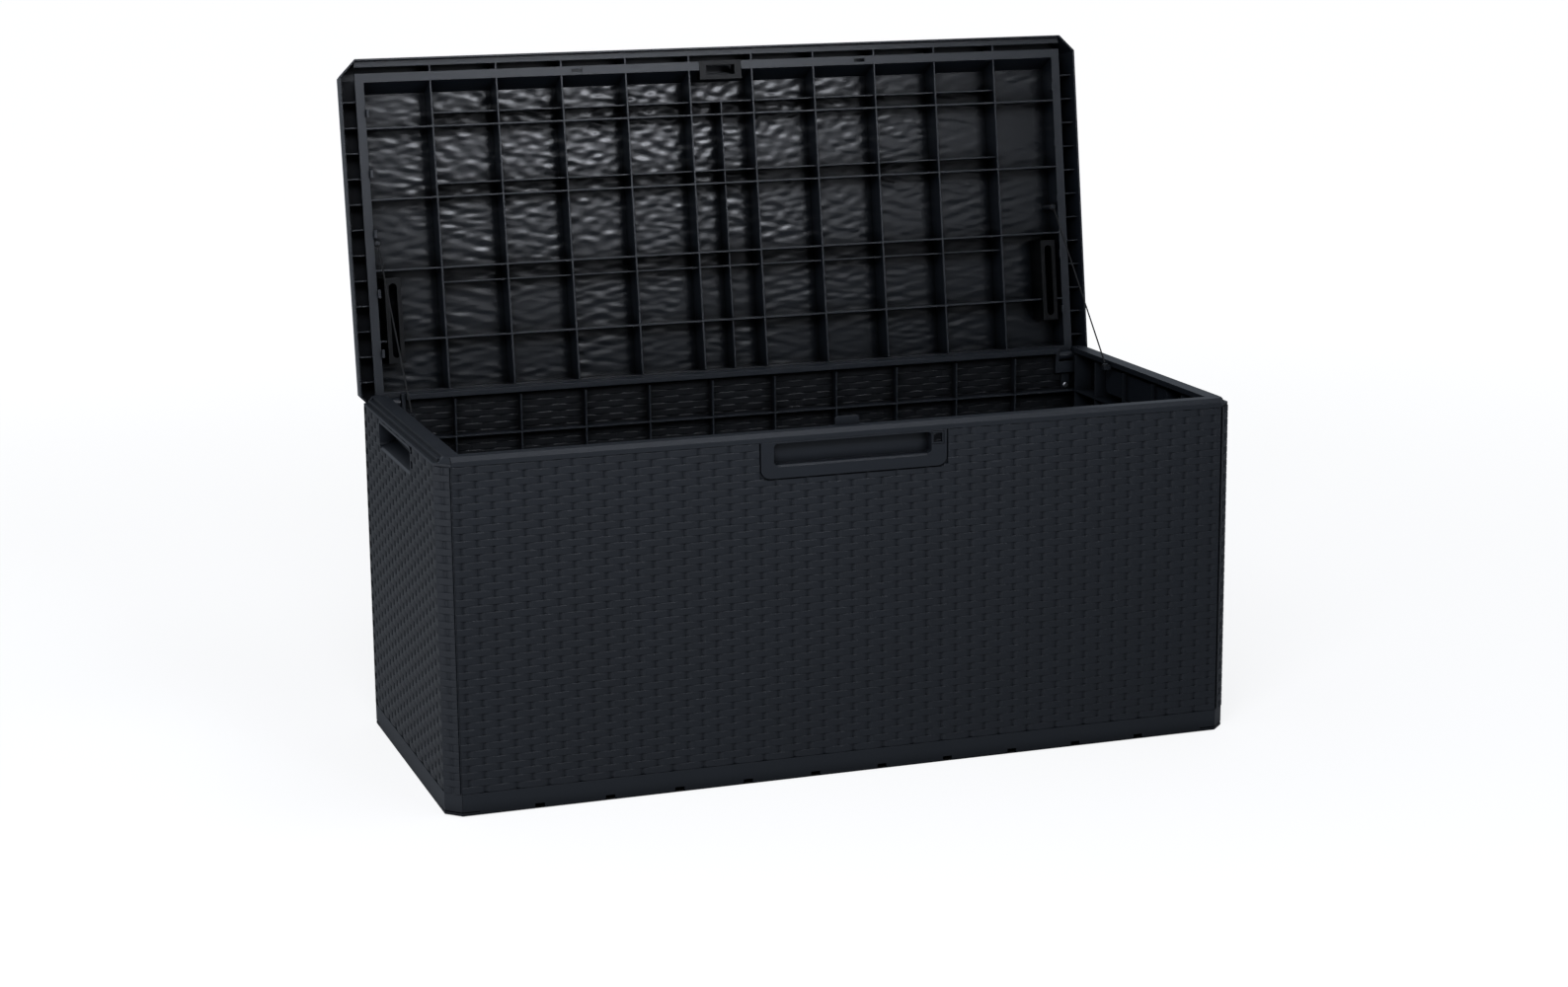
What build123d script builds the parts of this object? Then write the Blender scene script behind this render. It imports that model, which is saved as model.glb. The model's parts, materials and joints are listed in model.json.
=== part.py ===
from build123d import *
import math
import os

os.makedirs("parts", exist_ok=True)

# Sizes of the box in millimetres. X runs along it, the front faces -Y, and Z is up from the floor.
box_length = 1200
box_depth = 510
rim_height = 508
corner_cut = 21
skin = 3
rib = 2.5
long_wall_depth = 23
side_wall_depth = 36
weave_inset = 3
border_height = 31
rim_band = 13
rim_bevel = 6
rim_lip = 8
side_ledge_width = 7
side_ledge_drop = 9
side_step_width = 7
side_step_drop = 4
rib_count = 10
rib_end_bay = 139.65
side_rib_count = 4
side_end_bay = 101.55
rib_drop = 12
row_pitch = 105
row_count = 4
row_drop = 70
seat_gap = 0.3

# Base with its floor plate, under-ribs and corner feet.
floor_top = 18
foot_size = 45
foot_height = 4
foot_gap = 1.5
base_row_count = 4
drain_width = 14
drain_height = 7
drain_shift = -8.5

# Recessed grips in the front and in both ends, and the padlock hole.
front_plate_length = 281
front_plate_shift = 3
front_plate_height = 52.5
front_plate_round = 14
front_recess_length = 238
front_recess_shift = 1
front_recess_height = 31
front_recess_depth = 17.5
front_recess_top = 2.5
recess_round = 6
lip_bevel = 2.5
lock_hole = 13.5
lock_frame = 2
lock_groove = 1
lock_place = 129.5
lock_drop = 11.5
side_recess_length = 212
side_recess_height = 35
side_recess_depth = 25
side_recess_drop = 18.5
side_recess_rise = 7
side_plate_border = 4
side_grip_shift = 20

# Catch on the front rim.
catch_length = 54
catch_thickness = 3.5
catch_depth = 18
tongue_length = 36
tongue_height = 12

# Lid, seen from its open underside.
lid_cut = 20
lid_front_cut = 25
lid_lean = 6
lid_round = 7
lid_skin = 3
skirt = 2.7
skirt_overlap = 6.7
rear_overhang = 4
front_overhang = 12
open_angle = 97.8
flange_drop = 7
rib_depth = 40
flange_width = 13.5
ledge_width = 10
frame_end_inset = 38
frame_rear = 25
frame_front_inset = 35
front_slope = 16
lid_row_start = 102
lid_row_pitch = 106.7
lid_row_count = 4
thin_rib = 2
thin_row_depth = 34
thin_row_shifts = (-23, 20, 20)
gusset_pitch = 38.2
gusset_count = 12
gusset_drop = 11
gusset_shift = -6
clip_start = 84
clip_pitch = 90.2
clip_count = 5
clip_length = 12
clip_width = 4
clip_depth = 14
slot_place = 231
slot_length = 18
slot_width = 5

# Latch bracket in the middle of the lid's front edge.
latch_length = 68
latch_width = 29
latch_depth = 16
latch_opening_length = 46
latch_opening_width = 15

# Hinges near the two back corners: a bracket on the wall, an arm on the lid, a pin through both.
hinge_end = 46
hinge_inset = 5
hinge_drop = 15
pin_radius = 2.5
pin_clearance = 0.05
barrel_radius = 7.5
arm_length = 24
arm_thickness = 6.2
notch_length = 26
cheek = 6
bracket_front = 1
bracket_depth = 14
bracket_height = 41
cradle_height = 18
leg_width = 14
leg_thickness = 4
screw_edge = 1.5
screw_radius = 4.5
screw_head = 2.5

# Lid stays: a slotted rail on the lid, and a taut cord between two pegs at each end.
rail_edge = 23
rail_width = 25
rail_length = 129
rail_start = 68
rail_stand = 4
rail_slot_width = 12
rail_slot_length = 113
cord_radius = 1.25
cord_gap = 0.3
peg_radius = 4
peg_stand = 2
cord_edge = 8
lid_peg_height = 250
lid_peg_depth = 12
box_peg_back = 157
box_peg_drop = 4
tab_width = 10
tab_thickness = 7

# Places worked out from the sizes above.
half_length = box_length / 2
half_depth = box_depth / 2
panel_length = box_length - 2 * corner_cut
end_length = box_depth - 2 * corner_cut
seam_height = rim_height - rim_band
skin_back = weave_inset + skin
rib_top = rim_height - rib_drop
rib_pitch = (box_length - 2 * rib_end_bay) / (rib_count - 1)
side_rib_pitch = (box_depth - 2 * side_end_bay) / (side_rib_count - 1)
row_heights = [rim_height - row_drop - row_pitch * step for step in range(row_count)]
long_rib_places = [rib_pitch * (step - (rib_count - 1) / 2) for step in range(rib_count)]
side_rib_places = [side_rib_pitch * (step - (side_rib_count - 1) / 2) for step in range(side_rib_count)]
hinge_place = half_length - hinge_end
hinge_height = rim_height - hinge_drop
hinge_depth = half_depth - hinge_inset
skin_depth = flange_drop + rib_depth
post_inner = half_depth - long_wall_depth - seat_gap
lid_height = skin_depth + lid_skin
lean_slope = math.tan(math.radians(lid_lean))
cord_place = half_length - side_wall_depth - cord_edge
box_peg_depth = half_depth - box_peg_back

# The lid closes flush with both ends, over the ledges of their rims, and overhangs front and back
lid_length = box_length
lid_depth = box_depth + rear_overhang + front_overhang
frame_length = lid_length - 2 * frame_end_inset
frame_front = lid_depth - frame_front_inset
rail_place = frame_length / 2 - rail_edge


def wall_plane(outward, distance):
    """Plane on the outer face of a wall: X along the wall, Y up, normal pointing out of the box."""
    return Plane(origin=outward * distance, x_dir=Vector(0, 0, 1).cross(outward), z_dir=outward)


def section_plane(wall, shift=0):
    """Plane across a wall: X runs inwards from the outer face, Y up, at a shift along the wall."""
    return Plane(origin=wall.origin + wall.x_dir * shift, x_dir=wall.z_dir * -1, z_dir=wall.x_dir)


front_wall = wall_plane(Vector(0, -1, 0), half_depth)
back_wall = wall_plane(Vector(0, 1, 0), half_depth)
left_wall = wall_plane(Vector(-1, 0, 0), half_length)
right_wall = wall_plane(Vector(1, 0, 0), half_length)

# The lid's plane lies on the edge of its skirt. X is the box's X, Y runs up the open lid from its
# rear edge, and the normal points out of its underside. The lid turns about the hinge line.
hinge_line = Vector(0, hinge_depth, hinge_height)
rear_edge = Vector(0, half_depth + rear_overhang, rim_height - skirt_overlap)
lid_plane = Plane(
    origin=hinge_line + (rear_edge - hinge_line).rotate(Axis.X, -open_angle),
    x_dir=Vector(1, 0, 0),
    z_dir=Vector(0, 0, -1).rotate(Axis.X, -open_angle),
)
hinge_up_lid = rear_edge.Y - hinge_depth
hinge_below_skirt = rear_edge.Z - hinge_height


def lid_section(shift=0):
    """Plane across the lid: X runs up the lid, Y out of its underside, at a shift along the lid."""
    middle = lid_plane.origin + lid_plane.x_dir * shift
    return Plane(origin=middle, x_dir=lid_plane.y_dir, z_dir=lid_plane.x_dir)


def lid_row_section(place):
    """Plane along the lid: X is the box's X, Y runs out of the underside, at a place up the lid."""
    middle = lid_plane.origin + lid_plane.y_dir * place
    return Plane(origin=middle, x_dir=lid_plane.x_dir, z_dir=lid_plane.y_dir * -1)


def save(part, name):
    """Labels a finished piece and writes it to its own file."""
    part.label = name
    export_step(part, f"parts/{name}.step")


def ribbed_wall(wall, length, wall_depth, rim, rib_places):
    """A moulded wall: skin for the weave, plain bottom border, rim, end flanges and inner ribs."""
    ends = (length - skin) / 2
    rib_height = rib_top - floor_top
    with BuildPart() as panel:
        with BuildSketch(wall.offset(-weave_inset)):
            Rectangle(length, seam_height, align=(Align.CENTER, Align.MIN))
        extrude(amount=-skin)
        with BuildSketch(wall):
            Rectangle(length, border_height, align=(Align.CENTER, Align.MIN))
        extrude(amount=-skin_back)
        with BuildSketch(section_plane(wall)):
            with BuildLine():
                Polyline(*rim, close=True)
            make_face()
        extrude(amount=length / 2, both=True)
        with BuildSketch(wall.offset(-skin_back)):
            with Locations(*[(place, floor_top) for place in rib_places]):
                Rectangle(rib, rib_height, align=(Align.CENTER, Align.MIN))
            with Locations((-ends, floor_top), (ends, floor_top)):
                Rectangle(skin, rib_height, align=(Align.CENTER, Align.MIN))
            with Locations(*[(0, height) for height in row_heights]):
                Rectangle(length, rib)
        extrude(amount=-(wall_depth - skin_back))
    return panel.part


# Rim of the front and back walls in section: a flat top, a bevel to the outside and an inner lip
long_rim = [
    (0, seam_height),
    (0, rim_height - rim_bevel),
    (rim_bevel, rim_height),
    (long_wall_depth, rim_height),
    (long_wall_depth, rim_height - rim_lip),
    (long_wall_depth - skin, rim_height - rim_lip),
    (long_wall_depth - skin, rim_height - skin),
    (skin_back, rim_height - skin),
    (skin_back, seam_height),
]


def long_panel(wall):
    """Front or back wall, with drain notches in its bottom edge and cuts over the corner feet."""
    with BuildPart() as panel:
        add(ribbed_wall(wall, panel_length, long_wall_depth, long_rim, long_rib_places))
        with BuildSketch(wall):
            with Locations(*[(place + drain_shift, 0) for place in long_rib_places]):
                Rectangle(drain_width, 2 * drain_height)
            with Locations((-half_length, 0), (half_length, 0)):
                Rectangle(2 * foot_size, 2 * (foot_height + foot_gap))
        extrude(amount=-long_wall_depth, mode=Mode.SUBTRACT)
    return panel.part


# Base: floor plate on a lattice of under-ribs, with a foot at each corner that shows below the walls
base_length = box_length - 2 * (skin_back + seat_gap)
base_depth = box_depth - 2 * (skin_back + seat_gap)
base_row_pitch = base_depth / (base_row_count + 1)
base_cut = (base_length + base_depth) / 2 - (half_length - corner_cut) - post_inner
with BuildPart() as base_panel:
    with BuildSketch() as base_outline:
        Rectangle(base_length, base_depth)
        chamfer(base_outline.vertices(), base_cut)
    extrude(amount=floor_top)
    with BuildSketch() as base_hollow:
        Rectangle(base_length - 2 * skin, base_depth - 2 * skin)
        chamfer(base_hollow.vertices(), base_cut)
    extrude(amount=floor_top - skin, mode=Mode.SUBTRACT)
    with BuildSketch():
        with Locations(*[(place, 0) for place in long_rib_places]):
            Rectangle(rib, base_depth)
        with GridLocations(1, base_row_pitch, 1, base_row_count):
            Rectangle(base_length - 2 * base_cut, rib)
        Rectangle(rib_pitch, base_row_pitch)
    extrude(amount=floor_top - skin)
    # Drains through the edge, behind the notches of the front and back walls
    with BuildSketch():
        for side in (-1, 1):
            drains = [(place - side * drain_shift, side * base_depth / 2) for place in long_rib_places]
            with Locations(*drains):
                Rectangle(drain_width, 2 * skin)
    extrude(amount=drain_height, mode=Mode.SUBTRACT)
    with BuildSketch() as feet:
        Rectangle(box_length, box_depth)
        chamfer(feet.vertices(), corner_cut)
        Rectangle(box_length - 2 * foot_size, box_depth, mode=Mode.SUBTRACT)
        Rectangle(box_length, box_depth - 2 * foot_size, mode=Mode.SUBTRACT)
    extrude(amount=foot_height)
save(base_panel.part, "base_panel")

# Front wall, opened for the grip plate
front_plate_middle = seam_height - front_plate_height / 2
with BuildPart() as front_panel:
    add(long_panel(front_wall))
    with BuildSketch(front_wall) as opening:
        with Locations((front_plate_shift, front_plate_middle)):
            Rectangle(front_plate_length, front_plate_height)
        fillet(opening.vertices().group_by(Axis.Y)[0], front_plate_round)
    extrude(amount=-long_wall_depth, mode=Mode.SUBTRACT)
save(front_panel.part, "front_panel")

# Grip plate: smooth U-shaped plate with the finger recess and the padlock hole in its grooved frame
recess_middle = seam_height - front_recess_top - front_recess_height / 2
recess_foot = recess_middle - front_recess_height / 2
lock_height = seam_height - lock_drop
lock_border = lock_hole + 2 * lock_frame
with BuildPart() as front_grip:
    with BuildSketch(front_wall) as plate:
        with Locations((front_plate_shift, front_plate_middle)):
            Rectangle(front_plate_length - 2 * seat_gap, front_plate_height - 2 * seat_gap)
        fillet(plate.vertices().group_by(Axis.Y)[0], front_plate_round)
    extrude(amount=-skin_back)
    with BuildSketch(front_wall):
        with Locations((front_recess_shift, seam_height - seat_gap)):
            Rectangle(
                front_recess_length + 2 * rib,
                front_recess_height + front_recess_top + rib - seat_gap,
                align=(Align.CENTER, Align.MAX),
            )
    extrude(amount=-(front_recess_depth + rib))
    with BuildSketch(front_wall) as recess:
        with Locations((front_recess_shift, recess_middle)):
            RectangleRounded(front_recess_length, front_recess_height, recess_round)
    extrude(amount=-front_recess_depth, mode=Mode.SUBTRACT)
    with BuildSketch(section_plane(front_wall, front_recess_shift)):
        with BuildLine():
            Polyline((0, recess_foot - lip_bevel), (0, recess_foot), (lip_bevel, recess_foot), close=True)
        make_face()
    extrude(amount=front_recess_length / 2 - recess_round, both=True, mode=Mode.SUBTRACT)
    with BuildSketch(front_wall):
        with Locations((lock_place, lock_height)):
            Rectangle(lock_border + 2 * lock_groove, lock_border + 2 * lock_groove)
            Rectangle(lock_border, lock_border, mode=Mode.SUBTRACT)
    extrude(amount=-lock_groove, mode=Mode.SUBTRACT)
    with BuildSketch(front_wall):
        with Locations((lock_place, lock_height)):
            Rectangle(lock_hole, lock_hole)
    extrude(amount=-long_wall_depth, mode=Mode.SUBTRACT)
save(front_grip.part, "front_grip")

# Catch seated inside the front rim, with a tongue that enters the lid's latch
with BuildPart() as rim_catch:
    with BuildSketch(front_wall.offset(-long_wall_depth)):
        with Locations((0, rim_height)):
            Rectangle(catch_length, catch_depth, align=(Align.CENTER, Align.MAX))
            Rectangle(tongue_length, tongue_height, align=(Align.CENTER, Align.MIN))
    extrude(amount=-catch_thickness)
    tongue_corners = rim_catch.edges().filter_by(Axis.Y).group_by(Axis.Z)[-1]
    fillet(tongue_corners, tongue_height / 3)
save(rim_catch.part, "rim_catch")

# Back wall, cut away through its rim where the hinge brackets sit
bracket_length = notch_length + 2 * cheek
bracket_foot = rim_height - bracket_height
leg_foot = row_heights[0] + rib / 2 + seat_gap
with BuildPart() as back_panel:
    add(long_panel(back_wall))
    with BuildSketch(back_wall):
        with Locations((-hinge_place, bracket_foot), (hinge_place, bracket_foot)):
            Rectangle(bracket_length + 2 * seat_gap, bracket_height, align=(Align.CENTER, Align.MIN))
    extrude(amount=-long_wall_depth, mode=Mode.SUBTRACT)
save(back_panel.part, "back_panel")


def hinge_bracket(shift):
    """Hinge cradle: two drilled cheeks on a bridge, and a leg with a screw seat down the wall."""
    top = rim_height - seat_gap
    back = bracket_front + bracket_depth
    with BuildPart() as bracket:
        with BuildSketch(section_plane(back_wall, shift)):
            with BuildLine():
                Polyline(
                    (bracket_front, bracket_foot),
                    (bracket_front, top - rim_bevel),
                    (bracket_front + rim_bevel, top),
                    (back, top),
                    (back, bracket_foot),
                    close=True,
                )
            make_face()
        extrude(amount=bracket_length / 2, both=True)
        with BuildSketch(back_wall):
            with Locations((shift, bracket_foot + cradle_height)):
                Rectangle(notch_length, bracket_height, align=(Align.CENTER, Align.MIN))
        extrude(amount=-long_wall_depth, mode=Mode.SUBTRACT)
        with BuildSketch(back_wall.offset(-skin_back)):
            with Locations((shift, bracket_foot + cradle_height)):
                Rectangle(
                    leg_width, bracket_foot + cradle_height - leg_foot, align=(Align.CENTER, Align.MAX)
                )
        extrude(amount=-leg_thickness)
        with BuildSketch(section_plane(back_wall, shift)):
            with Locations((hinge_inset, hinge_height)):
                Circle(pin_radius + pin_clearance)
        extrude(amount=bracket_length / 2, both=True, mode=Mode.SUBTRACT)
    return bracket.part


def hinge_arm(shift):
    """Lid side of a hinge: a drilled barrel on a plate that stands in the lid's rear channel."""
    with BuildPart() as arm:
        with BuildSketch(lid_section(shift)):
            with Locations((hinge_up_lid, hinge_below_skirt)):
                Circle(barrel_radius)
            with Locations((skirt + seat_gap, -skin_depth)):
                Rectangle(arm_thickness, skin_depth + hinge_below_skirt, align=(Align.MIN, Align.MIN))
            with Locations((hinge_up_lid, hinge_below_skirt)):
                Circle(pin_radius + pin_clearance, mode=Mode.SUBTRACT)
        extrude(amount=arm_length / 2, both=True)
    return arm.part


def hinge_pin(shift):
    """Pin through both cheeks and the barrel of one hinge."""
    with BuildPart() as pin:
        with BuildSketch(section_plane(back_wall, shift)):
            with Locations((hinge_inset, hinge_height)):
                Circle(pin_radius)
        extrude(amount=bracket_length / 2, both=True)
    return pin.part


# The back wall's own X runs the other way, so a bracket on the left sits at a positive shift there
for name, place in (("left", -hinge_place), ("right", hinge_place)):
    save(hinge_bracket(-place), f"{name}_hinge_bracket")
    save(hinge_pin(-place), f"{name}_hinge_pin")
    save(hinge_arm(place), f"{name}_hinge_arm")

# Round-headed screws that hold the hinge legs to the wall
screw_height = leg_foot + screw_radius + screw_edge
with BuildPart() as hinge_screws:
    with BuildSketch(back_wall.offset(-skin_back - leg_thickness)):
        with Locations((-hinge_place, screw_height), (hinge_place, screw_height)):
            Circle(screw_radius)
    extrude(amount=-screw_head)
    chamfer(hinge_screws.edges().group_by(Axis.Y)[0], screw_head / 2)
save(hinge_screws.part, "hinge_screws")

# End walls: each carries both bevelled corner posts, a twice-stepped rim and the cut for its grip
side_ledge = rim_height - side_ledge_drop
side_step = rim_height - side_step_drop
side_flat_start = side_ledge_width + side_step_width
side_rim = [
    (0, seam_height),
    (0, side_ledge),
    (side_ledge_width, side_ledge),
    (side_ledge_width, side_step),
    (side_flat_start, side_step),
    (side_flat_start, rim_height),
    (side_wall_depth, rim_height),
    (side_wall_depth, rim_height - rim_lip),
    (side_wall_depth - skin, rim_height - rim_lip),
    (side_wall_depth - skin, rim_height - skin),
    (side_flat_start + skin, rim_height - skin),
    (side_flat_start + skin, side_step - skin),
    (side_ledge_width + skin, side_step - skin),
    (side_ledge_width + skin, seam_height),
]
side_plate_length = side_recess_length + 2 * side_plate_border
side_plate_height = side_recess_height + 2 * side_plate_border
side_plate_middle = rim_height - side_recess_drop - side_recess_height / 2
post_outline = [
    (end_length / 2, 0),
    (half_depth - seat_gap, corner_cut - seat_gap),
    (post_inner, corner_cut - seat_gap),
    (post_inner, 0),
]


def end_panel(wall):
    """One end wall with its posts, opened for the grip."""
    ground = Plane(origin=wall.origin, x_dir=wall.x_dir, z_dir=Vector(0, 0, 1))
    with BuildPart() as panel:
        add(ribbed_wall(wall, 2 * post_inner, side_wall_depth, side_rim, side_rib_places))
        for side in (-1, 1):
            with BuildSketch(ground):
                with BuildLine():
                    Polyline(*[(side * along, inward) for along, inward in post_outline], close=True)
                make_face()
            extrude(amount=side_ledge)
        with BuildSketch(wall):
            with Locations((-half_depth, 0), (half_depth, 0)):
                Rectangle(2 * foot_size, 2 * (foot_height + foot_gap))
        extrude(amount=-side_wall_depth, mode=Mode.SUBTRACT)
        with BuildSketch(wall):
            with Locations((wall.x_dir.Y * side_grip_shift, side_plate_middle)):
                RectangleRounded(side_plate_length, side_plate_height, recess_round + side_plate_border)
        extrude(amount=-(side_recess_depth + 2 * rib), mode=Mode.SUBTRACT)
    return panel.part


def end_grip(wall):
    """Cup that makes the finger recess in an end wall: its floor rises inwards from a bevelled lip."""
    place = wall.x_dir.Y * side_grip_shift
    foot = side_plate_middle - side_recess_height / 2
    with BuildPart() as grip:
        with BuildSketch(wall):
            with Locations((place, side_plate_middle)):
                RectangleRounded(
                    side_plate_length - 2 * seat_gap,
                    side_plate_height - 2 * seat_gap,
                    recess_round + side_plate_border - seat_gap,
                )
        extrude(amount=-skin_back)
        with BuildSketch(wall):
            with Locations((place, side_plate_middle)):
                RectangleRounded(
                    side_recess_length + 2 * rib, side_recess_height + 2 * rib, recess_round + rib
                )
        extrude(amount=-(side_recess_depth + rib))
        with BuildSketch(wall):
            with Locations((place, side_plate_middle)):
                RectangleRounded(side_recess_length, side_recess_height, recess_round)
        extrude(amount=-side_recess_depth, mode=Mode.SUBTRACT)
        with BuildSketch(section_plane(wall, place)):
            with BuildLine():
                Polyline((0, foot - lip_bevel), (0, foot), (lip_bevel, foot), close=True)
            make_face()
        extrude(amount=side_recess_length / 2 - recess_round, both=True, mode=Mode.SUBTRACT)
        with BuildSketch(section_plane(wall, place)):
            with BuildLine():
                Polyline(
                    (lip_bevel, foot),
                    (side_recess_depth, foot),
                    (side_recess_depth, foot + side_recess_rise),
                    close=True,
                )
            make_face()
        extrude(amount=side_recess_length / 2, both=True)
    return grip.part


for name, wall in (("left", left_wall), ("right", right_wall)):
    save(end_panel(wall), f"{name}_panel")
    save(end_grip(wall), f"{name}_grip")

# Lid: one moulding with an outer skirt, an inner flanged frame and a grid of ribs under its skin
frame_middle = (frame_rear + frame_front) / 2
frame_depth = frame_front - frame_rear
lid_rows = [lid_row_start + lid_row_pitch * step for step in range(lid_row_count)]
thin_rows = [row + shift for row, shift in zip(lid_rows[1:], thin_row_shifts)]
gusset_start = frame_middle + gusset_shift - gusset_pitch * (gusset_count - 1) / 2
skirt_middle = lid_length / 2 - skirt / 2
front_middle = lid_depth - skirt / 2


def leaning_block(inset, depth):
    """The lid's outline, inset and extruded to a depth, its ends and front leaning and its rear upright."""
    corner_inset = inset * (2 - math.sqrt(2))
    with BuildPart() as block:
        with BuildSketch(lid_plane) as outline:
            with Locations((0, inset)):
                Rectangle(lid_length - 2 * inset, lid_depth - 2 * inset, align=(Align.CENTER, Align.MIN))
            chamfer(outline.vertices().group_by(Axis.Y)[0], lid_cut - corner_inset)
            chamfer(outline.vertices().group_by(Axis.Y)[-1], lid_front_cut - corner_inset)
        extrude(amount=-depth)
        sides = [face for face in block.faces() if abs(face.normal_at().dot(lid_plane.z_dir)) < 0.5]
        leaning = [face for face in sides if face.normal_at().dot(lid_plane.y_dir) > -0.9]
        draft(leaning, neutral_plane=lid_plane, angle=-lid_lean)
    return block.part


with BuildPart() as lid_shell:
    add(leaning_block(0, lid_height))
    outer_face = lid_shell.faces().sort_by(Axis(lid_plane.origin, lid_plane.z_dir))[0]
    fillet(outer_face.edges(), lid_round)
    add(leaning_block(skirt, skin_depth), mode=Mode.SUBTRACT)
    # Flange that closes onto the rim, and the walls of the frame under it
    with BuildSketch(lid_plane.offset(-flange_drop)):
        with Locations((0, frame_middle)):
            Rectangle(frame_length + 2 * flange_width, frame_depth + 2 * flange_width)
            Rectangle(frame_length, frame_depth, mode=Mode.SUBTRACT)
    extrude(amount=-rib)
    # Ledge along the inside of the front skirt, level with the flange
    ledge_end = front_middle - (flange_drop + rib) * lean_slope
    with BuildSketch(lid_plane.offset(-flange_drop)):
        with Locations((0, ledge_end)):
            Rectangle(frame_length + 2 * flange_width, ledge_width, align=(Align.CENTER, Align.MAX))
    extrude(amount=-rib)
    with BuildSketch(lid_plane.offset(-flange_drop)):
        with Locations((0, frame_rear - rib)):
            Rectangle(frame_length + 2 * rib, rib, align=(Align.CENTER, Align.MIN))
        for side in (-1, 1):
            with Locations((side * (frame_length + rib) / 2, frame_rear - rib)):
                Rectangle(rib, frame_depth + 2 * rib, align=(Align.CENTER, Align.MIN))
    extrude(amount=-rib_depth)
    # Leaning front wall of the frame
    with BuildSketch(lid_section()):
        with BuildLine():
            Polyline(
                (frame_front, -flange_drop),
                (frame_front + rib, -flange_drop),
                (frame_front - front_slope + rib, -skin_depth),
                (frame_front - front_slope, -skin_depth),
                close=True,
            )
        make_face()
    extrude(amount=frame_length / 2, both=True)
    # Grid of ribs, of which the long ones run on to the front skirt, with thinner and lower ones between
    for place in long_rib_places:
        with BuildSketch(lid_section(place)):
            with BuildLine():
                Polyline(
                    (frame_rear, -flange_drop),
                    (front_middle - flange_drop * lean_slope, -flange_drop),
                    (front_middle - skin_depth * lean_slope, -skin_depth),
                    (frame_rear, -skin_depth),
                    close=True,
                )
            make_face()
        extrude(amount=rib / 2, both=True)
    with BuildSketch(lid_plane.offset(-flange_drop)):
        with Locations(*[(0, row) for row in lid_rows]):
            Rectangle(frame_length, rib)
    extrude(amount=-rib_depth)
    with BuildSketch(lid_plane.offset(-skin_depth)):
        with Locations(*[(0, row) for row in thin_rows]):
            Rectangle(long_rib_places[-1] - long_rib_places[0], thin_rib)
        with Locations((0, frame_rear)):
            Rectangle(thin_rib, thin_rows[-1] - frame_rear, align=(Align.CENTER, Align.MIN))
    extrude(amount=thin_row_depth)
    # Gussets across the channel between the skirt and the frame at both ends
    for step in range(gusset_count):
        with BuildSketch(lid_row_section(gusset_start + gusset_pitch * step)):
            for side in (-1, 1):
                with BuildLine():
                    Polyline(
                        (side * frame_length / 2, -gusset_drop),
                        (side * (skirt_middle - gusset_drop * lean_slope), -gusset_drop),
                        (side * (skirt_middle - skin_depth * lean_slope), -skin_depth),
                        (side * frame_length / 2, -skin_depth),
                        close=True,
                    )
                make_face()
        extrude(amount=thin_rib / 2, both=True)
    # Opening for the latch, slots in the front flange and room for the stay rails
    with BuildSketch(lid_plane.offset(-flange_drop)):
        with Locations((0, frame_front)):
            Rectangle(latch_length + 2 * seat_gap, latch_width + 2 * seat_gap)
    extrude(amount=-latch_depth, mode=Mode.SUBTRACT)
    with BuildSketch(lid_plane.offset(-flange_drop)):
        for side in (-1, 1):
            with Locations((side * slot_place, frame_front + flange_width / 2)):
                Rectangle(slot_length, slot_width)
    extrude(amount=-rib, mode=Mode.SUBTRACT)
    with BuildSketch(lid_plane.offset(-flange_drop)):
        for side in (-1, 1):
            with Locations((side * rail_place, rail_start + rail_length / 2)):
                Rectangle(rail_width + 2 * seat_gap, rail_length + 2 * seat_gap)
    extrude(amount=-rib_depth, mode=Mode.SUBTRACT)
save(lid_shell.part, "lid_shell")

# Latch bracket: a frame seated in the lid's front wall, which the catch's tongue enters
with BuildPart() as lid_latch:
    with BuildSketch(lid_plane.offset(-flange_drop)):
        with Locations((0, frame_front)):
            Rectangle(latch_length, latch_width)
            Rectangle(latch_opening_length, latch_opening_width, mode=Mode.SUBTRACT)
    extrude(amount=-latch_depth)
save(lid_latch.part, "lid_latch")

# Locating clips on the inner edge of both end flanges
clip_middle = frame_length / 2 - clip_width / 2
with BuildPart() as lid_clips:
    with BuildSketch(lid_plane):
        for step in range(clip_count):
            height = clip_start + clip_pitch * step
            with Locations((-clip_middle, height), (clip_middle, height)):
                Rectangle(clip_width, clip_length)
    extrude(amount=-clip_depth)
save(lid_clips.part, "lid_clips")


def stay_rail(place):
    """Slotted rail of a lid stay: a hollow box on the lid's skin with a long slot in its top."""
    middle = (place, rail_start + rail_length / 2)
    top = lid_plane.offset(rail_stand - flange_drop)
    height = rib_depth + rail_stand
    with BuildPart() as rail:
        with BuildSketch(top):
            with Locations(middle):
                Rectangle(rail_width, rail_length)
        extrude(amount=-height)
        with BuildSketch(lid_plane.offset(-skin_depth)):
            with Locations(middle):
                Rectangle(rail_width - 2 * skin, rail_length - 2 * skin)
        extrude(amount=height - skin, mode=Mode.SUBTRACT)
        with BuildSketch(top):
            with Locations(middle):
                SlotOverall(rail_slot_length, rail_slot_width, rotation=90)
        extrude(amount=-height, mode=Mode.SUBTRACT)
    return rail.part


def lid_cord_peg(place):
    """Round peg on the lid's skin that holds the upper end of a stay cord."""
    with BuildPart() as shape:
        with BuildSketch(lid_plane.offset(-skin_depth)):
            with Locations((place, lid_peg_height)):
                Circle(peg_radius)
        extrude(amount=skin_depth - lid_peg_depth)
    return shape.part


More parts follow.
